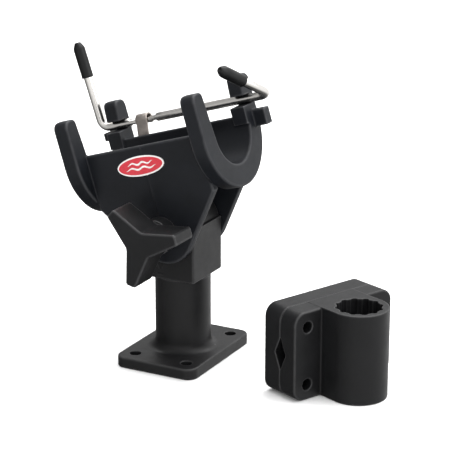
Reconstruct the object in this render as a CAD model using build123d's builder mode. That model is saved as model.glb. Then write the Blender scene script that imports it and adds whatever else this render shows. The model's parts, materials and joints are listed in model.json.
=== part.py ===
"""Boat rod holder with a tilting cradle, a swinging wire bail and two mounts.

Millimetres, +Z up.  The origin is the centre of the deck flange's underside, on the tube's axis.
+Y is the tilt hinge, and +X is the way the cradle's raised end points.
The cradle has its own frame (u, v, w): u along the trough, v along +Y, w out of the trough's mouth.
"""

import os
from math import cos, radians, sin, tan

from build123d import *

os.makedirs("parts", exist_ok=True)

# ---------------------------------------------------------------- driving dimensions
RUNNING = 0.05  # radial clearance of a turning fit
GAP = 0.3  # clearance between moving faces

# Deck mount
FLANGE_X, FLANGE_Y, FLANGE_T = 63.5, 88.9, 8.0
FLANGE_CORNER_R = 8.0
DECK_HOLE_R = 4.1
DECK_HOLES_X, DECK_HOLES_Y = 41.3, 66.0
TUBE_R = 19.9
TUBE_TOP = 62.4
TUBE_FOOT_R = 6.0

# Splined stem and the two sockets that take it
SPLINE_LOBES = 12
SPLINE_ROOT_R = 14.9
SPLINE_TIP_R, SPLINE_LOBE_R = 16.3, 2.3
SPLINE_CLEARANCE = 0.3
STEM_LENGTH = 46.0
STEM_WALL = 3.5

# Knuckle block and tilt hinge
HINGE_Z = 99.0
BLOCK_X, BLOCK_Y = 40.0, 42.0
BLOCK_FOOT_Z = TUBE_TOP + 0.1
BLOCK_SHOULDER_Z = 101.5
KNUCKLE_R = 18.0
MARK_DEPTH = 0.6
BOLT_R = 3.95
BOLT_HEAD_R, BOLT_HEAD_H = 8.5, 4.4
BOLT_NECK = 8.0

# Cradle, in its own frame with the hinge at u = 0, w = 0
TILT = 17.0
CHANNEL_R = 24.0
CHANNEL_W = 58.5  # height of the channel's axis
RIM_W = 63.2
WALL_V = 27.5  # outer face of the side walls and cheeks
CHEEK_V = BLOCK_Y / 2 + GAP  # inner face of the cheeks
CHEEK_FOOT_R = 22.5
CHEEK_TOP_W = 22.8
FLOOR_R = 27.5  # underside of the channel's floor
RING_R = 40.3
MID_U = 1.15  # the trough's middle
RING_OUT, RING_T = 58.5, 11.7  # a ring's outer face from the middle, and its thickness
PRONG_TOP_W = 91.2
PRONG_FLARE = 5.6  # degrees that each prong's inner face leans outwards
PRONG_SHOULDER_R, PRONG_LIP_R = 5.5, 4.0  # outer and inner corners of a prong's tip
RING_EDGE_R = 1.4
WALL_EDGE_R = 1.5

# Bail
WIRE_R = 3.175
BAIL_V, BAIL_W = 34.0, 73.0  # the bail's axis
REAR_CORNER_U, FRONT_CORNER_U = -66.5, 75.0
SEAT_V, SEAT_W = (22.0, 28.0), (57.0, 69.4)  # pad beside the wire's slot, on each far prong
SLOT_DEPTH = 16.0
FRONT_LUG_V, FRONT_LUG_W = (31.0, 39.0), (52.7, 64.7)  # lugs under the wire, on the rings' outer faces
REAR_LUG_V, REAR_LUG_W = (28.0, 39.0), (63.4, 69.4)
FRONT_LUG_LENGTH, REAR_LUG_LENGTH = 10.0, 6.5
BEND_R = 6.5
REAR_ARM, REAR_ANGLE, REAR_LEAN = 62.6, 90.0, -1.6
FRONT_ARM, FRONT_ANGLE, FRONT_LEAN = 55.0, 150.0, -4.4
CAP_R, CAP_LENGTH, CAP_END_WALL = 4.4, 26.5, 2.5
CLIP_U, CLIP_WIDTH, CLIP_T = -30.2, 9.5, 1.2
CLIP_SCREW_W = (44.0, 54.0)
SCREW_LENGTH = 3.0
SCREW_R, SCREW_HEAD_R, SCREW_HEAD_H = 1.5, 2.9, 1.8
FLAT_HALF_LENGTH, FLAT_WIDTH, FLAT_T = 12.0, 6.4, 3.6
HOOK_R = 3.6  # inside radius of the clip's hook

# Knob
KNOB_FRONT_Y, KNOB_T = -62.3, 22.5
KNOB_TIP_R, KNOB_TIP_W, KNOB_WAIST_R = 30.5, 7.6, 11.0
KNOB_ANGLES = (17.0, 137.0, 257.0)
KNOB_WAIST_ROUND, KNOB_TIP_ROUND, KNOB_EDGE_R = 6.0, 2.0, 1.2
HUB_R = 12.5
HUB_END_Y = -WALL_V - 1.9
BOLT_REACH = 52.0  # how far the bolt runs out towards -Y
WASHER_R, WASHER_T = 11.0, 1.6
INSERT_FLATS, INSERT_LENGTH = 13.0, 16.0
DISC_R, DISC_T, DISC_BORE_R = 16.0, 1.4, 6.5

# Badge on the near wall, over the mould's parting line
BADGE_U, BADGE_W = -3.1, 49.3
BADGE_LENGTH, BADGE_HEIGHT, BADGE_T = 38.5, 14.3, 0.5
SEAM_WIDTH, SEAM_HEIGHT = 0.8, 0.25
SEAM_SPANS = ((12.0, 41.6), (57.0, RIM_W - 2.0))

# Rail mount, with its own plane: x along the rail, y up, z towards the socket
RAIL_TURN = 67.1
RAIL_CORNER = (111.20, -46.32)  # near bottom corner of the front plate's outer face
RAIL_LENGTH, RAIL_HEIGHT, RAIL_PLATE_R = FLANGE_Y, FLANGE_X, 9.0  # the deck flange's footprint
RAIL_FRONT_T, RAIL_BACK_T = 15.0, 16.4
PARTING_GAP = 0.1  # each plate stops this far short of the parting plane
RAIL_SOCKET_X, RAIL_SOCKET_OUT, RAIL_BOSS_R = RAIL_LENGTH / 2, 14.8, 20.6
RAIL_BOSS_TOP = RAIL_HEIGHT + 0.6
RAIL_GROOVE_H, RAIL_GROOVE_D = 23.6, 5.3

# ---------------------------------------------------------------- frames
U = Vector(cos(radians(TILT)), 0, sin(radians(TILT)))
V = Vector(0, 1, 0)
W = Vector(-sin(radians(TILT)), 0, cos(radians(TILT)))
HINGE = Vector(0, 0, HINGE_Z)


def at(u, v, w):
    """The point (u, v, w) of the cradle's frame."""
    return HINGE + U * u + V * v + W * w


def across(u):
    """A plane square to the trough at u: its x is v and its y is w."""
    return Plane(origin=at(u, 0, 0), x_dir=V, z_dir=U)


def beside(v):
    """A plane along the trough's side at v: its x is u, its y is w, and it faces -v."""
    return Plane(origin=at(0, v, 0), x_dir=U, z_dir=-V)


def hinge_plane(y):
    """A plane square to the hinge at y: its x is X, its y is Z, and it faces -Y."""
    return Plane(origin=(0, y, HINGE_Z), x_dir=(1, 0, 0), z_dir=(0, -1, 0))


def rail_plane(out=0.0):
    """The rail mount's plane, `out` in front of the front plate's outer face."""
    along = Vector(cos(radians(RAIL_TURN)), sin(radians(RAIL_TURN)), 0)
    normal = Vector(sin(radians(RAIL_TURN)), -cos(radians(RAIL_TURN)), 0)
    return Plane(origin=Vector(*RAIL_CORNER, 0) + normal * out, x_dir=along, z_dir=normal)


def spline_profile(clearance=0.0):
    """A spline's section: a root circle with a rounded lobe on every index step."""
    with BuildSketch() as profile:
        Circle(SPLINE_ROOT_R + clearance)
        with PolarLocations(SPLINE_TIP_R - SPLINE_LOBE_R, SPLINE_LOBES):
            Circle(SPLINE_LOBE_R + clearance)
    return profile.sketch


stem_section = spline_profile()
socket_section = spline_profile(SPLINE_CLEARANCE)

# ---------------------------------------------------------------- deck mount
with BuildPart() as deck_mount:
    with BuildSketch():
        RectangleRounded(FLANGE_X, FLANGE_Y, FLANGE_CORNER_R)
    extrude(amount=FLANGE_T)
    rim = deck_mount.faces().sort_by(Axis.Z)[-1].edges()
    fillet(rim, radius=1.0)
    with BuildSketch(Plane.XZ):
        with BuildLine():
            foot = FLANGE_T + TUBE_FOOT_R
            Polyline((0, 0), (0, TUBE_TOP), (TUBE_R, TUBE_TOP), (TUBE_R, foot))
            RadiusArc((TUBE_R, foot), (TUBE_R + TUBE_FOOT_R, FLANGE_T), -TUBE_FOOT_R)
            Polyline((TUBE_R + TUBE_FOOT_R, FLANGE_T), (TUBE_R + TUBE_FOOT_R, 0), (0, 0))
        make_face()
    revolve(axis=Axis.Z)
    with BuildSketch(Plane.XY):
        add(socket_section)
    extrude(amount=TUBE_TOP, mode=Mode.SUBTRACT)
    with BuildSketch(Plane.XY):
        with GridLocations(DECK_HOLES_X, DECK_HOLES_Y, 2, 2):
            Circle(DECK_HOLE_R)
    extrude(amount=FLANGE_T, mode=Mode.SUBTRACT)
deck_mount.part.label = "deck_mount"

# ---------------------------------------------------------------- knuckle post
with BuildPart() as knuckle_post:
    with BuildSketch(hinge_plane(0)):
        # A round knuckle that rises from the block's shoulders.
        Circle(KNUCKLE_R)
        with Locations((0, (BLOCK_FOOT_Z + BLOCK_SHOULDER_Z) / 2 - HINGE_Z)):
            Rectangle(BLOCK_X, BLOCK_SHOULDER_Z - BLOCK_FOOT_Z)
    extrude(amount=BLOCK_Y / 2, both=True)
    fillet(knuckle_post.faces().filter_by(Plane.XZ).edges(), radius=1.0)
    with BuildSketch(Plane.XY.offset(TUBE_TOP - STEM_LENGTH)):
        add(stem_section)
    extrude(amount=STEM_LENGTH + BLOCK_FOOT_Z - TUBE_TOP)
    with BuildSketch(Plane.XY.offset(TUBE_TOP - STEM_LENGTH)):
        Circle(SPLINE_ROOT_R - STEM_WALL)
    extrude(amount=STEM_LENGTH, mode=Mode.SUBTRACT)
    with BuildSketch(hinge_plane(0)):
        Circle(BOLT_R + RUNNING)
    extrude(amount=BLOCK_Y, both=True, mode=Mode.SUBTRACT)
    # Recessed index arrow with a bar under it, which lines the head up with its mount.
    with BuildSketch(Plane(origin=(0, -BLOCK_Y / 2, BLOCK_FOOT_Z), x_dir=(1, 0, 0), z_dir=(0, -1, 0))):
        Polygon((-9.5, 12.5), (-3.5, 12.5), (-6.5, 6.5), align=None)
        with Locations((-6.5, 4.0)):
            Rectangle(5.0, 1.6)
    extrude(amount=-MARK_DEPTH, mode=Mode.SUBTRACT)
knuckle_post.part.label = "knuckle_post"


# ---------------------------------------------------------------- cradle
def middle(span):
    return (span[0] + span[1]) / 2


def extent(span):
    return span[1] - span[0]


# One end ring: a U with two prongs, seen along the trough.
flare = radians(PRONG_FLARE)
shoulder_centre = (RING_R - PRONG_SHOULDER_R, PRONG_TOP_W - PRONG_SHOULDER_R)
flare_start = Vector(CHANNEL_R * cos(flare), CHANNEL_W - CHANNEL_R * sin(flare))
flare_end_w = PRONG_TOP_W - PRONG_LIP_R + PRONG_LIP_R * sin(flare)
flare_end = Vector(flare_start.X + (flare_end_w - flare_start.Y) * tan(flare), flare_end_w)
lip_centre = (flare_end.X + PRONG_LIP_R * cos(flare), PRONG_TOP_W - PRONG_LIP_R)

with BuildPart() as ring:
    with BuildSketch():
        with BuildLine():
            CenterArc((0, CHANNEL_W), RING_R, -90, 90)
            Line((RING_R, CHANNEL_W), (RING_R, shoulder_centre[1]))
            CenterArc(shoulder_centre, PRONG_SHOULDER_R, 0, 90)
            Line((shoulder_centre[0], PRONG_TOP_W), (lip_centre[0], PRONG_TOP_W))
            CenterArc(lip_centre, PRONG_LIP_R, 90, 90 - PRONG_FLARE)
            Line(flare_end, flare_start)
            CenterArc((0, CHANNEL_W), CHANNEL_R, -PRONG_FLARE, PRONG_FLARE - 90)
            Line((0, CHANNEL_W - CHANNEL_R), (0, CHANNEL_W - RING_R))
        make_face()
        mirror(about=Plane.YZ)
    extrude(amount=RING_T)
    fillet(ring.faces().filter_by(Plane.XY).edges(), radius=RING_EDGE_R)

with BuildPart() as cradle:
    # Side plates: the trough's walls run straight down into the two hinge cheeks.
    with BuildSketch(beside(0)):
        Circle(CHEEK_FOOT_R)
        with Locations((MID_U, (CHEEK_TOP_W + RIM_W) / 2)):
            Rectangle(2 * (RING_OUT - RING_T) + 1, RIM_W - CHEEK_TOP_W)
        make_hull()
    extrude(amount=WALL_V, both=True)
    fillet(cradle.faces().filter_by(Plane.XZ).edges(), radius=WALL_EDGE_R)
    # The rod's channel, open at the top.
    with BuildSketch(across(0)):
        with Locations((0, CHANNEL_W)):
            Circle(CHANNEL_R)
        with Locations((0, CHANNEL_W + CHANNEL_R / 2)):
            Rectangle(2 * CHANNEL_R, CHANNEL_R)
    extrude(amount=2 * RING_OUT, both=True, mode=Mode.SUBTRACT)
    # The fork between the cheeks, under the channel's rounded floor.
    with BuildSketch(across(0)):
        with Locations((0, (CHANNEL_W - CHEEK_FOOT_R) / 2 - 1)):
            Rectangle(2 * CHEEK_V, CHANNEL_W + CHEEK_FOOT_R + 2)
        with Locations((0, CHANNEL_W)):
            Circle(FLOOR_R, mode=Mode.SUBTRACT)
    extrude(amount=2 * RING_OUT, both=True, mode=Mode.SUBTRACT)
    for start in (MID_U - RING_OUT, MID_U + RING_OUT - RING_T):
        with Locations(across(start)):
            add(ring.part)
        # A pad beside the far prong, and the slot that the bail snaps into.
        with BuildSketch(across(start)):
            with Locations((middle(SEAT_V), middle(SEAT_W))):
                Rectangle(extent(SEAT_V), extent(SEAT_W))
        extrude(amount=RING_T)
        with BuildSketch(across(start)):
            with Locations((BAIL_V, BAIL_W)):
                Circle(WIRE_R + GAP)
            with Locations((BAIL_V - SLOT_DEPTH / 2, BAIL_W)):
                Rectangle(SLOT_DEPTH, 2 * (WIRE_R + GAP))
        extrude(amount=RING_T, mode=Mode.SUBTRACT)
    # Lugs under the wire on the rings' outer faces.
    with BuildSketch(across(MID_U + RING_OUT - RING_EDGE_R)):
        with Locations((middle(FRONT_LUG_V), middle(FRONT_LUG_W))):
            Rectangle(extent(FRONT_LUG_V), extent(FRONT_LUG_W))
    extrude(amount=FRONT_LUG_LENGTH + RING_EDGE_R)
    with BuildSketch(across(MID_U - RING_OUT + RING_EDGE_R)):
        with Locations((middle(REAR_LUG_V), middle(REAR_LUG_W))):
            Rectangle(extent(REAR_LUG_V), extent(REAR_LUG_W))
    extrude(amount=-REAR_LUG_LENGTH - RING_EDGE_R)
    # Parting line on the near wall, above and below the badge.
    with BuildSketch(beside(-WALL_V)):
        for low, high in SEAM_SPANS:
            with Locations((0, (low + high) / 2)):
                Rectangle(SEAM_WIDTH, high - low)
    extrude(amount=SEAM_HEIGHT)
    # Hinge holes: round in the near cheek, square in the far one for the bolt's neck.
    with BuildSketch(hinge_plane(0)):
        Circle(BOLT_R + 0.2)
    extrude(amount=WALL_V + 1, mode=Mode.SUBTRACT)
    with BuildSketch(beside(0)):
        Rectangle(BOLT_NECK, BOLT_NECK)
    extrude(amount=-WALL_V - 1, mode=Mode.SUBTRACT)
    # Recesses for the friction discs in the cheeks' inner faces.
    with BuildSketch(hinge_plane(0)):
        Circle(DISC_R)
    extrude(amount=BLOCK_Y / 2 + 0.1 + DISC_T, both=True, mode=Mode.SUBTRACT)
    # Pilot holes for the clip's screws.
    with BuildSketch(beside(WALL_V)):
        for w in CLIP_SCREW_W:
            with Locations((CLIP_U, w)):
                Circle(SCREW_R)
    extrude(amount=SCREW_LENGTH, mode=Mode.SUBTRACT)
cradle.part.label = "cradle"


# ---------------------------------------------------------------- badge
with BuildPart() as badge:
    with BuildSketch(beside(-WALL_V)):
        with Locations((BADGE_U, BADGE_W)):
            Ellipse(BADGE_LENGTH / 2, BADGE_HEIGHT / 2)
    extrude(amount=BADGE_T)
badge.part.label = "badge"

# ---------------------------------------------------------------- hinge bolt, discs, washer
with BuildPart() as hinge_bolt:
    with BuildSketch(hinge_plane(WALL_V)):
        Circle(BOLT_R)
    extrude(amount=WALL_V + BOLT_REACH)
    with BuildSketch(beside(WALL_V)):
        Rectangle(BOLT_NECK - 0.2, BOLT_NECK - 0.2)
    extrude(amount=WALL_V - CHEEK_V - 1.5)
    with BuildSketch(hinge_plane(WALL_V)):
        Circle(BOLT_HEAD_R)
    extrude(amount=-BOLT_HEAD_H)
    fillet(hinge_bolt.faces().sort_by(Axis.Y)[-1].edges(), radius=BOLT_HEAD_H - 0.4)
hinge_bolt.part.label = "hinge_bolt"


def friction_disc(side, label):
    """A friction disc in the cheek on the -Y side (side = -1) or the +Y side (side = 1)."""
    with BuildPart() as disc:
        with BuildSketch(hinge_plane(side * (BLOCK_Y / 2 + 0.1))):
            Circle(DISC_R - 0.1)
            Circle(DISC_BORE_R, mode=Mode.SUBTRACT)
        extrude(amount=-side * DISC_T)
    disc.part.label = label
    return disc


disc_near = friction_disc(-1, "friction_disc_near")
disc_far = friction_disc(1, "friction_disc_far")

with BuildPart() as knob_washer:
    with BuildSketch(hinge_plane(-WALL_V)):
        Circle(WASHER_R)
        Circle(BOLT_R + 0.3, mode=Mode.SUBTRACT)
    extrude(amount=WASHER_T)
knob_washer.part.label = "knob_washer"

# ---------------------------------------------------------------- star knob and its insert
with BuildSketch() as knob_outline:
    root = KNOB_WAIST_R * 0.9
    tip = KNOB_TIP_W / 2
    for angle in KNOB_ANGLES:
        Polygon((0, -root), (KNOB_TIP_R, -tip), (KNOB_TIP_R, tip), (0, root), rotation=angle, align=None)
    waist = knob_outline.vertices().filter_by(lambda corner: corner.center().length < 20)
    fillet(waist, radius=KNOB_WAIST_ROUND)
    tips = knob_outline.vertices().filter_by(lambda corner: corner.center().length > 28)
    fillet(tips, radius=KNOB_TIP_ROUND)

with BuildPart() as star_knob:
    with BuildSketch(hinge_plane(KNOB_FRONT_Y)):
        add(knob_outline.sketch)
    extrude(amount=-KNOB_T)
    with BuildSketch(hinge_plane(KNOB_FRONT_Y + KNOB_T)):
        Circle(HUB_R)
    extrude(amount=-(HUB_END_Y - KNOB_FRONT_Y - KNOB_T))
    fillet(star_knob.faces().sort_by(Axis.Y)[0].edges(), radius=KNOB_EDGE_R)
    with BuildSketch(hinge_plane(HUB_END_Y)):
        RegularPolygon(INSERT_FLATS / 2, 6, major_radius=False)
    extrude(amount=INSERT_LENGTH, mode=Mode.SUBTRACT)
    with BuildSketch(hinge_plane(HUB_END_Y)):
        Circle(BOLT_R + GAP)
    extrude(amount=BOLT_REACH + HUB_END_Y + 2, mode=Mode.SUBTRACT)
star_knob.part.label = "star_knob"

with BuildPart() as knob_insert:
    with BuildSketch(hinge_plane(HUB_END_Y)):
        RegularPolygon(INSERT_FLATS / 2, 6, major_radius=False)
        Circle(BOLT_R + RUNNING, mode=Mode.SUBTRACT)
    extrude(amount=INSERT_LENGTH)
knob_insert.part.label = "knob_insert"


# ---------------------------------------------------------------- bail, caps and clip
def arm_direction(angle, lean):
    """An arm's direction: `angle` up from +v, leaning by `lean` along the trough."""
    swing = V * cos(radians(angle)) + W * sin(radians(angle))
    return U * sin(radians(lean)) + swing * cos(radians(lean))


rear_corner = at(REAR_CORNER_U, BAIL_V, BAIL_W)
front_corner = at(FRONT_CORNER_U, BAIL_V, BAIL_W)
rear_direction = arm_direction(REAR_ANGLE, REAR_LEAN)
front_direction = arm_direction(FRONT_ANGLE, FRONT_LEAN)
rear_tip = rear_corner + rear_direction * REAR_ARM
front_tip = front_corner + front_direction * FRONT_ARM

with BuildPart() as bail_wire:
    with BuildLine() as route:
        FilletPolyline(rear_tip, rear_corner, front_corner, front_tip, radius=BEND_R)
    with BuildSketch(Plane(origin=rear_tip, z_dir=-rear_direction)):
        Circle(WIRE_R)
    sweep(path=route.wires()[0])
    # Flattened stretch that the clip's hook springs against.
    with BuildSketch(across(CLIP_U - FLAT_HALF_LENGTH)):
        with Locations((BAIL_V, BAIL_W)):
            Rectangle(4 * WIRE_R, 4 * WIRE_R)
            SlotOverall(FLAT_WIDTH, FLAT_T, mode=Mode.SUBTRACT)
    extrude(amount=2 * FLAT_HALF_LENGTH, mode=Mode.SUBTRACT)
    with BuildSketch(across(CLIP_U - FLAT_HALF_LENGTH)):
        with Locations((BAIL_V, BAIL_W)):
            SlotOverall(FLAT_WIDTH, FLAT_T)
    extrude(amount=2 * FLAT_HALF_LENGTH)
bail_wire.part.label = "bail_wire"


def arm_cap(tip, direction, label):
    """A vinyl cap pushed over the end of one arm."""
    with BuildPart() as cap:
        depth = CAP_LENGTH - CAP_END_WALL
        with BuildSketch(Plane(origin=tip - direction * depth, z_dir=direction)):
            Circle(CAP_R)
        extrude(amount=CAP_LENGTH)
        end = cap.faces().filter_by(GeomType.PLANE).sort_by(Axis(tip, direction))[-1]
        fillet(end.edges(), radius=CAP_R - 0.7)
        with BuildSketch(Plane(origin=tip - direction * depth, z_dir=direction)):
            Circle(WIRE_R)
        extrude(amount=depth, mode=Mode.SUBTRACT)
    cap.part.label = label
    return cap


cap_rear = arm_cap(rear_tip, rear_direction, "bail_cap_rear")
cap_front = arm_cap(front_tip, front_direction, "bail_cap_front")

with BuildPart() as bail_clip:
    hook = HOOK_R + CLIP_T / 2
    leg_v = WALL_V + CLIP_T / 2
    with BuildSketch(across(CLIP_U)):
        with BuildLine():
            near_v, far_v = BAIL_V - hook, BAIL_V + hook
            Polyline((leg_v, 40.0), (leg_v, RIM_W + 1), (near_v, BAIL_W - 2.5), (near_v, BAIL_W))
            CenterArc((BAIL_V, BAIL_W), hook, 180, -180)
            Polyline((far_v, BAIL_W), (far_v, BAIL_W - 2.5), (far_v + 1.8, BAIL_W - 4.5))
        trace(line_width=CLIP_T)
    extrude(amount=CLIP_WIDTH / 2, both=True)
    with BuildSketch(beside(WALL_V + CLIP_T)):
        for w in CLIP_SCREW_W:
            with Locations((CLIP_U, w)):
                Circle(SCREW_R)
    extrude(amount=2 * CLIP_T, both=True, mode=Mode.SUBTRACT)
bail_clip.part.label = "bail_clip"

with BuildPart() as clip_screws:
    for w in CLIP_SCREW_W:
        with BuildSketch(beside(WALL_V + CLIP_T)):
            with Locations((CLIP_U, w)):
                Circle(SCREW_R)
        extrude(amount=CLIP_T + SCREW_LENGTH)
        with BuildSketch(beside(WALL_V + CLIP_T)):
            with Locations((CLIP_U, w)):
                Circle(SCREW_HEAD_R)
        extrude(amount=-SCREW_HEAD_H)
    fillet(clip_screws.faces().group_by(Axis.Y)[-1].edges(), radius=0.9)
    with BuildSketch(beside(WALL_V + CLIP_T + SCREW_HEAD_H)):
        for w in CLIP_SCREW_W:
            with Locations((CLIP_U, w)):
                Rectangle(3.2, 0.8)
                Rectangle(0.8, 3.2)
    extrude(amount=0.9, mode=Mode.SUBTRACT)
clip_screws.part.label = "clip_screws"


# ---------------------------------------------------------------- rail mount
front_face = rail_plane()
parting_face = rail_plane(-RAIL_FRONT_T)
floor_plane = Plane(origin=front_face.origin, x_dir=front_face.x_dir, z_dir=(0, 0, 1))
end_plane = Plane(origin=parting_face.origin, x_dir=parting_face.z_dir, z_dir=-parting_face.x_dir)
plate_centre = (RAIL_LENGTH / 2, RAIL_HEIGHT / 2)

with BuildSketch() as rail_outline:
    with Locations(plate_centre):
        RectangleRounded(RAIL_LENGTH, RAIL_HEIGHT, RAIL_PLATE_R)

# What both plates lose: the diamond channel the rail lies in, and the four bolt holes.
with BuildPart() as rail_cutter:
    with BuildSketch(end_plane):
        with Locations((0, RAIL_HEIGHT / 2)):
            Polygon(
                (-RAIL_GROOVE_D, 0),
                (0, RAIL_GROOVE_H / 2),
                (RAIL_GROOVE_D, 0),
                (0, -RAIL_GROOVE_H / 2),
            )
    extrude(amount=2 * RAIL_LENGTH, both=True)
    with BuildSketch(front_face):
        with Locations(plate_centre):
            with GridLocations(DECK_HOLES_Y, DECK_HOLES_X, 2, 2):
                Circle(DECK_HOLE_R)
    extrude(amount=RAIL_LENGTH, both=True)

with BuildPart() as rail_socket:
    with BuildSketch(front_face):
        add(rail_outline.sketch)
    extrude(amount=-RAIL_FRONT_T + PARTING_GAP)
    front_rim = rail_socket.faces().sort_by(Axis((0, 0, 0), front_face.z_dir))[-1].edges()
    fillet(front_rim, radius=1.0)
    with BuildSketch(floor_plane):
        with Locations((RAIL_SOCKET_X, -RAIL_SOCKET_OUT)):
            Circle(RAIL_BOSS_R)
        # The block behind the socket runs back to the parting plane.
        block = RAIL_SOCKET_OUT + RAIL_FRONT_T - PARTING_GAP
        with Locations((RAIL_SOCKET_X, block / 2 - RAIL_SOCKET_OUT)):
            Rectangle(2 * RAIL_BOSS_R, block)
    extrude(amount=RAIL_BOSS_TOP)
    with BuildSketch(floor_plane):
        with Locations((RAIL_SOCKET_X, -RAIL_SOCKET_OUT)):
            add(socket_section)
    extrude(amount=RAIL_BOSS_TOP, mode=Mode.SUBTRACT)
    add(rail_cutter.part, mode=Mode.SUBTRACT)
rail_socket.part.label = "rail_clamp_socket"

with BuildPart() as rail_jaw:
    with BuildSketch(rail_plane(-RAIL_FRONT_T - PARTING_GAP)):
        add(rail_outline.sketch)
    extrude(amount=-RAIL_BACK_T + PARTING_GAP)
    back_rim = rail_jaw.faces().sort_by(Axis((0, 0, 0), front_face.z_dir))[0].edges()
    fillet(back_rim, radius=1.0)
    add(rail_cutter.part, mode=Mode.SUBTRACT)
rail_jaw.part.label = "rail_clamp_jaw"

# ---------------------------------------------------------------- files
pieces = (
    deck_mount,
    knuckle_post,
    cradle,
    badge,
    hinge_bolt,
    disc_near,
    disc_far,
    knob_washer,
    star_knob,
    knob_insert,
    bail_wire,
    cap_rear,
    cap_front,
    bail_clip,
    clip_screws,
    rail_socket,
    rail_jaw,
)
for piece in pieces:
    export_step(piece.part, f"parts/{piece.part.label}.step")
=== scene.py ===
"""Looks for the boat rod holder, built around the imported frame.

Moulded black plastic with softened corners, a bright wire bail with vinyl caps, and an oval badge.
"""

import json
from math import cos, pi, radians, sin, tan

import bpy
from mathutils import Matrix, Vector


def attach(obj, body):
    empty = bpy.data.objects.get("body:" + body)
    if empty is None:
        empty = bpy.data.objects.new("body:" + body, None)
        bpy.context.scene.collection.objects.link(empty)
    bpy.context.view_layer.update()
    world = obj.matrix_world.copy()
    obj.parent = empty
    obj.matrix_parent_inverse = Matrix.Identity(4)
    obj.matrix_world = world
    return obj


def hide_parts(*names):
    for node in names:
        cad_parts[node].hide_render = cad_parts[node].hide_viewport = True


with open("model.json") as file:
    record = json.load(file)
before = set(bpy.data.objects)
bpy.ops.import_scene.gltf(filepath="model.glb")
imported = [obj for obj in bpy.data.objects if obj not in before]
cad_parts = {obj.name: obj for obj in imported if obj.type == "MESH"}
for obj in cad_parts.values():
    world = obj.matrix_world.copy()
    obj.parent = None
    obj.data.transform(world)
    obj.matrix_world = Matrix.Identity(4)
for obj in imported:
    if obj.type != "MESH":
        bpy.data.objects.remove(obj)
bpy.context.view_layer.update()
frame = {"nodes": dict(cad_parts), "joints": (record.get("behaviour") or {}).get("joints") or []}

MM = 0.001

# ---------------------------------------------------------------- the cradle's own frame
joints = {joint["name"]: joint for joint in frame["joints"]}
HINGE = Vector(joints["cradle_tilt"]["pos_m"])
U = Vector(joints["bail_swing"]["axis"]).normalized()  # along the trough
V = Vector((0, 1, 0))  # along the tilt hinge
W = U.cross(V)  # out of the trough's mouth
TO_CRADLE = Matrix((U, V, W)).to_4x4() @ Matrix.Translation(-HINGE)


def at(u, v, w):
    """The point of the cradle's frame, given in millimetres."""
    return HINGE + (U * u + V * v + W * w) * MM


# ---------------------------------------------------------------- sizes in millimetres, as in the CAD
WALL_V = 27.5  # outer faces of the trough's walls
RIM_W = 63.2  # top of the walls
BAIL_V, BAIL_W = 34.0, 73.0  # the bail's axis
WIRE_R = 3.175
REAR_CORNER_U, FRONT_CORNER_U, BEND_R = -66.5, 75.0, 6.5
REAR_ARM, REAR_ANGLE, REAR_LEAN = 62.6, 90.0, -1.6
FRONT_ARM, FRONT_ANGLE, FRONT_LEAN = 55.0, 150.0, -4.4
CAP_R, CAP_LENGTH, CAP_END_WALL = 4.4, 26.5, 2.5
CLIP_U, CLIP_WIDTH, CLIP_T, HOOK_R = -30.2, 9.5, 1.2, 3.6
FLAT_HALF_LENGTH, FLAT_HALF_WIDTH, FLAT_HALF_T = 12.0, 3.2, 1.8
BADGE_U, BADGE_W, BADGE_A, BADGE_B, BADGE_T = -3.1, 49.3, 19.25, 7.15, 0.5


# ---------------------------------------------------------------- materials
def shade(colour, factor):
    return tuple(channel * factor for channel in colour)


class Shader:
    """A short way to build one node material."""

    def __init__(self, name, **inputs):
        self.material = bpy.data.materials.new(name)
        self.material.use_nodes = True
        self.tree = self.material.node_tree
        self.surface = self.tree.nodes["Principled BSDF"]
        for socket, value in inputs.items():
            self.surface.inputs[socket.replace("_", " ")].default_value = value

    def node(self, kind, **settings):
        made = self.tree.nodes.new(kind)
        for key, value in settings.items():
            if key in made.inputs:
                made.inputs[key].default_value = value
            else:
                setattr(made, key, value)
        return made

    def link(self, start, end):
        self.tree.links.new(start, end)

    def feed(self, socket, value):
        """Joins a value to one of the surface's own inputs."""
        self.link(value, self.surface.inputs[socket])

    def coordinates(self, kind="Object", scale=(1, 1, 1)):
        source = self.node("ShaderNodeTexCoord")
        mapping = self.node("ShaderNodeMapping")
        mapping.inputs["Scale"].default_value = scale
        self.link(source.outputs[kind], mapping.inputs["Vector"])
        return mapping.outputs["Vector"]

    def noise(self, vector, scale, detail=3.0, roughness=0.5):
        made = self.node("ShaderNodeTexNoise", Scale=scale, Detail=detail, Roughness=roughness)
        self.link(vector, made.inputs["Vector"])
        return made.outputs["Fac"]

    def map(self, value, source, target):
        """Stretches the value from one (low, high) range to another."""
        made = self.node("ShaderNodeMapRange")
        made.inputs["From Min"].default_value, made.inputs["From Max"].default_value = source
        made.inputs["To Min"].default_value, made.inputs["To Max"].default_value = target
        self.link(value, made.inputs["Value"])
        return made.outputs["Result"]

    def mix(self, factor, first, second):
        made = self.node("ShaderNodeMix", data_type="RGBA")
        self.link(factor, made.inputs[0])
        for socket, value in ((made.inputs[6], first), (made.inputs[7], second)):
            if isinstance(value, tuple):
                socket.default_value = (*value, 1.0)
            else:
                self.link(value, socket)
        return made.outputs[2]

    def bump(self, height, strength, distance, below=None):
        made = self.node("ShaderNodeBump", Strength=strength, Distance=distance)
        self.link(height, made.inputs["Height"])
        if below is not None:
            self.link(below, made.inputs["Normal"])
        return made.outputs["Normal"]


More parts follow.
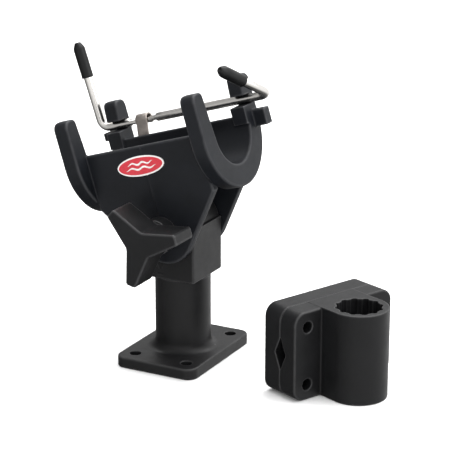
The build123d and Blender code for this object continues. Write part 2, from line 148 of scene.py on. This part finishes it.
def moulded_plastic(name, colour, edge_highlight, roughness, specular=0.2, grain=0.12):
    """Moulded plastic: fine spark-eroded grain, faint flow clouds, and a painted highlight that makes
    its convex edges paler.
    """
    shader = Shader(name, Specular_IOR_Level=specular)
    where = shader.coordinates()
    flow = shader.noise(where, scale=38.0, detail=5.0, roughness=0.6)
    clouds = shader.map(flow, (0.35, 0.7), (0.0, 1.0))
    body = shader.mix(clouds, colour, shade(colour, 1.45))
    geometry = shader.node("ShaderNodeNewGeometry")
    # painted highlight: convex edges, found by pointiness, are mixed toward the pale edge highlight
    # colour
    edge_highlight_mask = shader.map(geometry.outputs["Pointiness"], (0.504, 0.545), (0.0, 0.9))
    shader.feed("Base Color", shader.mix(edge_highlight_mask, body, edge_highlight))
    smears = shader.noise(where, scale=75.0, detail=4.0, roughness=0.65)
    shader.feed("Roughness", shader.map(smears, (0.3, 0.7), (roughness - 0.05, roughness + 0.08)))
    fine = shader.bump(shader.noise(where, scale=2600.0, detail=2.0), grain, distance=0.00012)
    waves = shader.noise(where, scale=110.0, detail=2.0)
    shader.feed("Normal", shader.bump(waves, strength=0.05, distance=0.0004, below=fine))
    return shader.material


def drawn_wire(name, colour, roughness):
    """Polished drawn wire with fine lines along its length; its UV runs round by x and along by y."""
    shader = Shader(name, Metallic=1.0)
    where = shader.coordinates("UV", (60.0, 1.5, 1.0))
    lines = shader.noise(where, scale=4.0, detail=4.0, roughness=0.6)
    stripes = shader.map(lines, (0.35, 0.7), (0.0, 1.0))
    shader.feed("Base Color", shader.mix(stripes, colour, shade(colour, 0.82)))
    shader.feed("Roughness", shader.map(lines, (0.3, 0.7), (roughness - 0.05, roughness + 0.1)))
    shader.feed("Normal", shader.bump(lines, strength=0.08, distance=0.0001))
    return shader.material


def brushed_metal(name, colour, roughness, stretch=(40.0, 900.0, 900.0)):
    """Rolled or turned metal: a brushed grain, long where `stretch` is small, and a few dull spots."""
    shader = Shader(name, Metallic=1.0)
    grain = shader.noise(shader.coordinates("Object", stretch), scale=1.0, detail=3.0, roughness=0.6)
    spots = shader.noise(shader.coordinates(), scale=320.0, detail=3.0, roughness=0.6)
    dull = shader.map(spots, (0.45, 0.75), (0.0, 0.8))
    shader.feed("Base Color", shader.mix(dull, colour, shade(colour, 0.7)))
    shader.feed("Roughness", shader.map(grain, (0.3, 0.7), (roughness - 0.06, roughness + 0.1)))
    shader.feed("Normal", shader.bump(grain, strength=0.12, distance=0.00008))
    return shader.material


def vinyl(name, colour, roughness):
    """Dipped vinyl: glossy, with a slightly uneven skin."""
    shader = Shader(name, Specular_IOR_Level=0.22)
    where = shader.coordinates()
    uneven = shader.noise(where, scale=160.0, detail=4.0, roughness=0.6)
    blotches = shader.map(uneven, (0.35, 0.7), (0.0, 1.0))
    shader.feed("Base Color", shader.mix(blotches, colour, shade(colour, 1.8)))
    shader.feed("Roughness", shader.map(blotches, (0.0, 1.0), (roughness, roughness + 0.12)))
    skin = shader.noise(where, scale=420.0, detail=2.0)
    shader.feed("Normal", shader.bump(skin, strength=0.1, distance=0.0002))
    return shader.material


def printed(name, colour, roughness):
    """Printed badge film under a clear coat, with a faint dot screen."""
    shader = Shader(name, Coat_Weight=0.4, Coat_Roughness=0.12)
    where = shader.coordinates()
    screen = shader.map(shader.noise(where, scale=900.0, detail=2.0), (0.35, 0.65), (0.0, 1.0))
    shader.feed("Base Color", shader.mix(screen, colour, shade(colour, 0.84)))
    shader.feed("Roughness", shader.map(screen, (0.0, 1.0), (roughness, roughness + 0.06)))
    film = shader.noise(where, scale=260.0, detail=2.0)
    shader.feed("Normal", shader.bump(film, strength=0.04, distance=0.0002))
    return shader.material


TURNED = (900.0, 60.0, 900.0)  # grain of the pieces turned about V
# the second colour of each moulded plastic is the painted highlight on its convex edges
MOULDED = moulded_plastic("moulded_black", (0.0058, 0.0066, 0.0086), (0.055, 0.056, 0.060), 0.44)
POST = moulded_plastic("post_black", (0.0062, 0.0062, 0.0066), (0.045, 0.045, 0.046), 0.42)
KNOB = moulded_plastic("knob_black", (0.0062, 0.0063, 0.0068), (0.070, 0.070, 0.072), 0.42, grain=0.08)
RAIL = moulded_plastic("rail_black", (0.0056, 0.0057, 0.0062), (0.045, 0.045, 0.046), 0.43)
DISC = moulded_plastic("disc_rubber", (0.03,) * 3, (0.05,) * 3, 0.8, specular=0.15, grain=0.25)
WIRE = drawn_wire("bright_wire", (0.74, 0.72, 0.69), 0.2)
CLIP = brushed_metal("clip_steel", (0.36, 0.325, 0.30), 0.38)
STEEL = brushed_metal("stainless_steel", (0.62, 0.61, 0.59), 0.28, TURNED)
BRASS = brushed_metal("insert_brass", (0.72, 0.52, 0.22), 0.3, TURNED)
VINYL = vinyl("cap_vinyl", (0.0035, 0.0036, 0.0038), 0.30)
BADGE_RED = printed("badge_red", (0.60, 0.012, 0.03), 0.28)
BADGE_WHITE = printed("badge_white", (0.85, 0.82, 0.80), 0.28)


# ---------------------------------------------------------------- meshes
WELD_DISTANCE = 1e-6  # metres
SMOOTHING = 0.5
KEPT_FACES = 0.4  # share of the rounded skin's faces that is kept


def finish_piece(piece, body, replaced):
    """Hides the CAD nodes that the piece stands for, and hangs the piece on the body it rides on."""
    if replaced:
        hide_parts(*replaced)
    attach(piece, body)


def add_piece(name, vertices, faces, material, body, replaced=()):
    """A smooth mesh piece that rides on a body and stands for the CAD nodes named."""
    mesh = bpy.data.meshes.new(name)
    mesh.from_pydata([tuple(v) for v in vertices], [], faces)
    mesh.validate()
    mesh.update()
    piece = bpy.data.objects.new(name, mesh)
    bpy.context.scene.collection.objects.link(piece)
    mesh.materials.append(material)
    mesh.polygons.foreach_set("use_smooth", [True] * len(mesh.polygons))
    finish_piece(piece, body, replaced)
    return piece


def apply_modifiers(piece):
    """Makes the piece's modified shape its own mesh."""
    bpy.context.view_layer.update()
    shape = bpy.data.meshes.new_from_object(piece.evaluated_get(bpy.context.evaluated_depsgraph_get()))
    piece.modifiers.clear()
    piece.data = shape


def softened(node, body, material, voxel, passes, turn=Matrix.Identity(4)):
    """The CAD node's shape with its corners and inside angles rounded off, as a moulding has them.

    `turn` lines the node up with the voxels while it is rounded.
    """
    mesh = frame["nodes"][node].data.copy()
    mesh.transform(turn)
    piece = bpy.data.objects.new(f"{node}_moulding", mesh)
    bpy.context.scene.collection.objects.link(piece)
    weld = piece.modifiers.new("weld", "WELD")
    weld.merge_threshold = WELD_DISTANCE
    skin = piece.modifiers.new("skin", "REMESH")
    skin.mode = "VOXEL"
    skin.voxel_size = voxel * MM
    skin.use_smooth_shade = True
    rounding = piece.modifiers.new("rounding", "SMOOTH")
    rounding.factor = SMOOTHING
    rounding.iterations = passes
    lighter = piece.modifiers.new("lighter", "DECIMATE")
    lighter.decimate_type = "COLLAPSE"
    lighter.ratio = KEPT_FACES
    apply_modifiers(piece)
    piece.data.transform(turn.inverted())
    piece.data.materials.clear()
    piece.data.materials.append(material)
    finish_piece(piece, body, (node,))


def ring_faces(rings, around):
    """The faces of a closed body made of `rings` rings with `around` points each."""
    faces = []
    for ring in range(rings - 1):
        for step in range(around):
            a = ring * around + step
            b = ring * around + (step + 1) % around
            faces.append((a, b, b + around, a + around))
    faces.append(tuple(reversed(range(around))))
    faces.append(tuple(range((rings - 1) * around, rings * around)))
    return faces


def superellipse(angle, half_a, half_b, squareness):
    """A point of a rounded section: an ellipse at squareness 2, nearer a rectangle above it."""
    x, y = cos(angle), sin(angle)
    power = 2 / squareness
    x = abs(x) ** power * (1 if x >= 0 else -1)
    y = abs(y) ** power * (1 if y >= 0 else -1)
    return half_a * x, half_b * y


def tube(name, centres, sections, material, body, replaced=()):
    """A tube through `centres`; each section is (half width, half height, squareness) about V."""
    around, rings_per_tile = 40, 8
    vertices = []
    count = len(centres)
    for index, (centre, section) in enumerate(zip(centres, sections)):
        before = centres[max(index - 1, 0)]
        after = centres[min(index + 1, count - 1)]
        tangent = (after - before).normalized()
        side = (V - tangent * V.dot(tangent)).normalized()
        up = tangent.cross(side)
        for step in range(around):
            x, y = superellipse(2 * pi * step / around, *section)
            vertices.append(centre + side * (x * MM) + up * (y * MM))
    piece = add_piece(name, vertices, ring_faces(count, around), material, body, replaced)
    layer = piece.data.uv_layers.new(name="UVMap")
    for loop in piece.data.loops:
        ring, step = divmod(loop.vertex_index, around)
        layer.data[loop.index].uv = (abs(step / around - 0.5), ring / rings_per_tile)


def turned(name, base, direction, profile, material, body, replaced=()):
    """A body of revolution: the profile is (distance along, radius) in millimetres from `base`."""
    around = 48
    side = direction.orthogonal().normalized()
    up = direction.cross(side)
    vertices = []
    for distance, radius in profile:
        for step in range(around):
            angle = 2 * pi * step / around
            spoke = side * cos(angle) + up * sin(angle)
            vertices.append(base + direction * (distance * MM) + spoke * (radius * MM))
    add_piece(name, vertices, ring_faces(len(profile), around), material, body, replaced)


# ---------------------------------------------------------------- bail
FLAT_SHOULDER, FLAT_LEAD = 0.9, 6.0  # the flat's ends, and the round stretch that leads to them
REAR_RING = 20.0  # a further ring on the straight rear arm, from its tip
RUN_RINGS = (0.0, 25.0)  # further rings on the long run, by u
ROUND, SQUARED = 2.0, 3.2  # squareness of the wire's two sections

# a cap's outline, as (distance from its mouth, how far inside CAP_R)
CAP_MOUTH = [(0.6, 1.2), (0.05, 1.0), (0.0, 0.4), (0.2, 0.1), (0.8, 0.0)]
CAP_SLEEVE = [(1.8, 0.02), (2.6, 0.12), (12.0, 0.08), (21.5, 0.12)]
CAP_TIP = [(22.4, 0.25), (23.1, 0.6), (25.4, 1.7), (26.1, 2.2), (26.4, 2.7)]
CAP_DIMPLE = [(26.35, 3.2), (25.9, 3.7), (25.75, 4.35)]


def arm_direction(angle, lean):
    """An arm's direction: `angle` up from V, leaning by `lean` along the trough."""
    swing = V * cos(radians(angle)) + W * sin(radians(angle))
    return U * sin(radians(lean)) + swing * cos(radians(lean))


def bend(corner, before, after, steps=14):
    """Points on the bend of radius BEND_R that rounds off a corner between two directions."""
    turn = before.angle(after)
    reach = BEND_R * tan(turn / 2) * MM
    start = corner - before * reach
    inward = (after - before * after.dot(before)).normalized()
    centre = start + inward * (BEND_R * MM)
    points = []
    for step in range(steps + 1):
        angle = turn * step / steps
        points.append(centre + (before * sin(angle) - inward * cos(angle)) * (BEND_R * MM))
    return points


def cap(node, tip, direction):
    """A vinyl cap over an arm's tip: a rolled mouth, a sleeve, and a chamfered end with a dimple."""
    base = tip - direction * ((CAP_LENGTH - CAP_END_WALL) * MM)
    outline = CAP_MOUTH + CAP_SLEEVE + CAP_TIP + CAP_DIMPLE
    profile = [(distance, CAP_R - inset) for distance, inset in outline]
    turned(f"{node}_vinyl", base, direction, profile, VINYL, "bail", (node,))


def bail():
    """The wire: rear arm, two bends, the long run with its flattened stretch, and the front arm."""
    rear = arm_direction(REAR_ANGLE, REAR_LEAN)
    front = arm_direction(FRONT_ANGLE, FRONT_LEAN)
    rear_corner = at(REAR_CORNER_U, BAIL_V, BAIL_W)
    front_corner = at(FRONT_CORNER_U, BAIL_V, BAIL_W)
    rear_tip = rear_corner + rear * (REAR_ARM * MM)
    front_tip = front_corner + front * (FRONT_ARM * MM)
    low, high = CLIP_U - FLAT_HALF_LENGTH, CLIP_U + FLAT_HALF_LENGTH
    flat = [low + FLAT_SHOULDER, CLIP_U, high - FLAT_SHOULDER]
    round_section = (WIRE_R, WIRE_R, ROUND)
    flat_section = (FLAT_HALF_WIDTH, FLAT_HALF_T, SQUARED)
    centres = [rear_tip, rear_tip - rear * (REAR_RING * MM)] + bend(rear_corner, -rear, U)
    sections = [round_section] * len(centres)
    for u in [low - FLAT_LEAD, low, *flat, high, high + FLAT_LEAD, *RUN_RINGS]:
        centres.append(at(u, BAIL_V, BAIL_W))
        sections.append(flat_section if u in flat else round_section)
    centres += bend(front_corner, U, front) + [front_tip]
    sections += [round_section] * (len(centres) - len(sections))
    tube("bail_wire_bright", centres, sections, WIRE, "bail", ("bail_wire",))
    cap("bail_cap_rear", rear_tip, rear)
    cap("bail_cap_front", front_tip, front)


bail()


# ---------------------------------------------------------------- clip
CLIP_GAP = 0.02  # from the far wall's face
CLIP_LEG_W = (39.4, 52.0, 62.5)  # the straight leg's foot, middle and top
CLIP_SWEEP = ((0.15, 64.4), (0.7, 66.4), (1.5, 68.8))  # its bend outwards: (out from the leg, w)
HOOK_DROP, HOOK_STEPS = 2.2, 16  # how far the hook's ends reach below the wire's axis
LIP_OUT, LIP_DROP = 0.3, 1.0  # the lip, from the hook's far end
CLIP_BEVEL, BEVEL_FROM_ANGLE = 0.25, 50.0


def clip():
    """A rolled strap: up the far wall, out to the wire, and over it with a turned-out lip."""
    hook = HOOK_R + CLIP_T / 2
    leg = WALL_V + CLIP_T / 2 + CLIP_GAP
    line = [(leg, w) for w in CLIP_LEG_W] + [(leg + out, w) for out, w in CLIP_SWEEP]
    line.append((BAIL_V - hook, BAIL_W - HOOK_DROP))
    for step in range(HOOK_STEPS + 1):
        angle = pi - pi * step / HOOK_STEPS
        line.append((BAIL_V + hook * cos(angle), BAIL_W + hook * sin(angle)))
    line.append((BAIL_V + hook, BAIL_W - HOOK_DROP))
    line.append((BAIL_V + hook + LIP_OUT, BAIL_W - HOOK_DROP - LIP_DROP))
    outer, inner = [], []
    for index, (v, w) in enumerate(line):
        before = Vector(line[max(index - 1, 0)])
        after = Vector(line[min(index + 1, len(line) - 1)])
        tangent = (after - before).normalized()
        normal = Vector((-tangent.y, tangent.x)) * (CLIP_T / 2)
        outer.append(Vector((v, w)) + normal)
        inner.append(Vector((v, w)) - normal)
    outline = outer + inner[::-1]
    count = len(outline)
    half = CLIP_WIDTH / 2
    vertices = [at(CLIP_U + side * half, p.x, p.y) for side in (-1, 1) for p in outline]
    faces = []
    for k in range(count):
        a, b = k, (k + 1) % count
        faces.append((a, b, b + count, a + count))
    for k in range(len(outer) - 1):
        a, b, c, d = k, k + 1, count - 2 - k, count - 1 - k
        faces.append((d, c, b, a))
        faces.append((a + count, b + count, c + count, d + count))
    piece = add_piece("bail_clip_strap", vertices, faces, CLIP, "cradle", ("bail_clip",))
    edge = piece.modifiers.new("edge", "BEVEL")
    edge.width = CLIP_BEVEL * MM
    edge.segments = 3
    edge.limit_method = "ANGLE"
    edge.angle_limit = radians(BEVEL_FROM_ANGLE)
    apply_modifiers(piece)


clip()


# ---------------------------------------------------------------- badge
BADGE_STEPS = 96
# the badge's layers, as (how far in from its edge, height over the wall)
BORDER_RINGS = [(0, 0), (0, 0.32), (0.12, 0.45), (0.35, 0.5), (1.4, 0.5)]
FIELD_RINGS = [(1.15, 0.4), (1.15, 0.54), (1.3, 0.57), (2.5, 0.58)]
WAVE_STEPS = 64
WAVE_RISE, WAVE_T = 0.13, 0.1  # the print's face over the badge's, and its thickness
WAVE_AMPLITUDE, WAVE_WIDTH, WAVE_END_WIDTH = 0.75, 1.3, 0.1
WAVE_CRESTS = 2.5


def badge_disc(name, rings, material, replaced=()):
    """An oval plate on the near wall, built from the rings of one layer."""
    vertices = []
    for inset, height in rings:
        for step in range(BADGE_STEPS):
            angle = 2 * pi * step / BADGE_STEPS
            u = BADGE_U + (BADGE_A - inset) * cos(angle)
            w = BADGE_W + (BADGE_B - inset) * sin(angle)
            vertices.append(at(u, -WALL_V - height, w))
    faces = ring_faces(len(rings), BADGE_STEPS)
    add_piece(name, vertices, faces, material, "cradle", replaced)


def badge_wave(name, w, half_length):
    """A white wave printed across the badge, tapering at both ends."""
    face_v = -WALL_V - BADGE_T - WAVE_RISE
    vertices = []
    for v in (face_v + WAVE_T, face_v):
        for step in range(WAVE_STEPS + 1):
            s = -1 + 2 * step / WAVE_STEPS
            middle = w + WAVE_AMPLITUDE * sin(WAVE_CRESTS * pi * s)
            half = WAVE_WIDTH / 2 * (1 - abs(s) ** 3) + WAVE_END_WIDTH / 2
            for side in (-1, 1):
                vertices.append(at(BADGE_U + s * half_length, v, middle + side * half))
    faces = []
    row = 2 * (WAVE_STEPS + 1)
    for step in range(WAVE_STEPS):
        a = 2 * step
        faces.append((a, a + 1, a + 3, a + 2))
        faces.append((row + a + 2, row + a + 3, row + a + 1, row + a))
        faces.append((a, a + 2, row + a + 2, row + a))
        faces.append((a + 1, row + a + 1, row + a + 3, a + 3))
    faces.append((0, row, row + 1, 1))
    faces.append((row - 2, row - 1, 2 * row - 1, 2 * row - 2))
    add_piece(name, vertices, faces, BADGE_WHITE, "cradle")


badge_disc("badge_border", BORDER_RINGS, BADGE_WHITE, ("badge",))
badge_disc("badge_field", FIELD_RINGS, BADGE_RED)
badge_wave("badge_wave_upper", BADGE_W + 1.9, half_length=10.5)
badge_wave("badge_wave_lower", BADGE_W - 1.5, half_length=12.5)


# ---------------------------------------------------------------- mould seam
SEAM_HALF_WIDTH, SEAM_HEIGHT, SEAM_STEPS = 0.42, 0.3, 8
SEAM_FOOT_W = 13.0
RIM_GAP = 1.5  # from the seam's end to the wall's top
BADGE_OVERLAP = 0.2  # how far the seam runs under the badge


def seam(name, low, high):
    """The near wall's parting line: a thin rounded bead."""
    vertices = []
    for w in (low, high):
        for step in range(SEAM_STEPS + 1):
            angle = pi * step / SEAM_STEPS
            v = -WALL_V - SEAM_HEIGHT * sin(angle)
            vertices.append(at(SEAM_HALF_WIDTH * cos(angle), v, w))
    faces = []
    row = SEAM_STEPS + 1
    for step in range(SEAM_STEPS):
        faces.append((step, step + 1, row + step + 1, row + step))
    faces.append((SEAM_STEPS, 0, row, row + SEAM_STEPS))
    faces.append(tuple(reversed(range(row))))
    faces.append(tuple(range(row, 2 * row)))
    add_piece(name, vertices, faces, MOULDED, "cradle")


seam("mould_seam_upper", BADGE_W + BADGE_B - BADGE_OVERLAP, RIM_W - RIM_GAP)
seam("mould_seam_lower", SEAM_FOOT_W, BADGE_W - BADGE_B + BADGE_OVERLAP)


# ---------------------------------------------------------------- mouldings and carried-over nodes
softened("cradle", "cradle", MOULDED, voxel=0.55, passes=5, turn=TO_CRADLE)
softened("rail_clamp_socket", "rail_mount", RAIL, voxel=0.5, passes=4)
softened("deck_mount", "deck_mount", POST, voxel=0.5, passes=4)
softened("star_knob", "knob", KNOB, voxel=0.4, passes=3)
softened("rail_clamp_jaw", "rail_jaw", RAIL, voxel=0.5, passes=4)
softened("knuckle_post", "head", POST, voxel=0.45, passes=3)

carried = {
    "hinge_bolt": STEEL,
    "friction_disc_near": DISC,
    "friction_disc_far": DISC,
    "knob_washer": STEEL,
    "knob_insert": BRASS,
    "clip_screws": CLIP,
}
for node, material in carried.items():
    mesh = frame["nodes"][node].data
    mesh.materials.clear()
    mesh.materials.append(material)


# ---------------------------------------------------------------- studio, in metres
LIT_POINT = Vector((0.03, 0.0, 0.1))  # what the lights face
FLOOR_HALF, FLOOR_DROP = 6.0, 0.0002
CAMERA_PLACE = (0.640, -1.145, 0.517)
CAMERA_AIM = Vector((-0.4456, 0.8417, -0.3049))
CAMERA_LENS = 156.0  # millimetres, on a sensor 36 mm wide


def facing(direction):
    """The turn that makes a camera or a light look along `direction`."""
    return direction.to_track_quat("-Z", "Y").to_euler()


def area_light(name, place, size, power):
    """A square light that faces LIT_POINT."""
    light = bpy.data.lights.new(name, "AREA")
    light.shape = "RECTANGLE"
    light.size = light.size_y = size
    light.energy = power
    lamp = bpy.data.objects.new(name, light)
    lamp.location = place
    lamp.rotation_euler = facing(LIT_POINT - Vector(place))
    bpy.context.scene.collection.objects.link(lamp)


def floor():
    """A wide, plain, near-white floor that isn't reflected in the object."""
    mesh = bpy.data.meshes.new("floor")
    corners = ((-1, -1), (1, -1), (1, 1), (-1, 1))
    vertices = [(x * FLOOR_HALF, y * FLOOR_HALF, 0) for x, y in corners]
    mesh.from_pydata(vertices, [], [(0, 1, 2, 3)])
    plane = bpy.data.objects.new("floor", mesh)
    plane.location.z = -FLOOR_DROP
    bpy.context.scene.collection.objects.link(plane)
    shader = Shader("floor_white", Roughness=0.9, Specular_IOR_Level=0.1)
    shader.surface.inputs["Base Color"].default_value = (0.92, 0.92, 0.92, 1.0)
    mesh.materials.append(shader.material)
    plane.visible_glossy = False


def studio_world():
    """White where it is seen; as a light it is bright from the right and fades to the left and below."""
    world = bpy.data.worlds.new("studio")
    world.use_nodes = True
    nodes, links = world.node_tree.nodes, world.node_tree.links

    def faded(value, low, high, darkest, brightest):
        made = nodes.new("ShaderNodeMapRange")
        ends = (("From Min", low), ("From Max", high), ("To Min", darkest), ("To Max", brightest))
        for socket, number in ends:
            made.inputs[socket].default_value = number
        links.new(value, made.inputs["Value"])
        return made.outputs["Result"]

    direction = nodes.new("ShaderNodeSeparateXYZ")
    links.new(nodes.new("ShaderNodeTexCoord").outputs["Generated"], direction.inputs["Vector"])
    across = faded(direction.outputs["X"], low=-1.0, high=0.1, darkest=0.1, brightest=1.3)
    upward = faded(direction.outputs["Z"], low=-0.8, high=-0.35, darkest=0.1, brightest=1.0)
    both = nodes.new("ShaderNodeMath")
    both.operation = "MULTIPLY"
    links.new(across, both.inputs[0])
    links.new(upward, both.inputs[1])
    seen = nodes.new("ShaderNodeLightPath")
    strength = nodes.new("ShaderNodeMath")
    strength.operation = "MAXIMUM"
    links.new(both.outputs["Value"], strength.inputs[0])
    links.new(seen.outputs["Is Camera Ray"], strength.inputs[1])
    links.new(strength.outputs["Value"], nodes["Background"].inputs["Strength"])
    nodes["Background"].inputs["Color"].default_value = (1.0, 1.0, 1.0, 1.0)
    bpy.context.scene.world = world


def add_camera():
    data = bpy.data.cameras.new("camera")
    data.lens = CAMERA_LENS
    data.sensor_width = 36.0
    data.clip_start = 0.05
    camera = bpy.data.objects.new("camera", data)
    camera.location = CAMERA_PLACE
    camera.rotation_euler = facing(CAMERA_AIM)
    bpy.context.scene.collection.objects.link(camera)
    bpy.context.scene.camera = camera


floor()
studio_world()
area_light("key", place=(1.5, 0.1, 1.0), size=1.4, power=12.0)
area_light("fill", place=(-1.2, -1.0, 0.8), size=1.6, power=0.5)
area_light("top", place=(-0.1, 0.5, 1.6), size=2.0, power=50.0)
add_camera()
bpy.context.scene.view_settings.view_transform = "Standard"
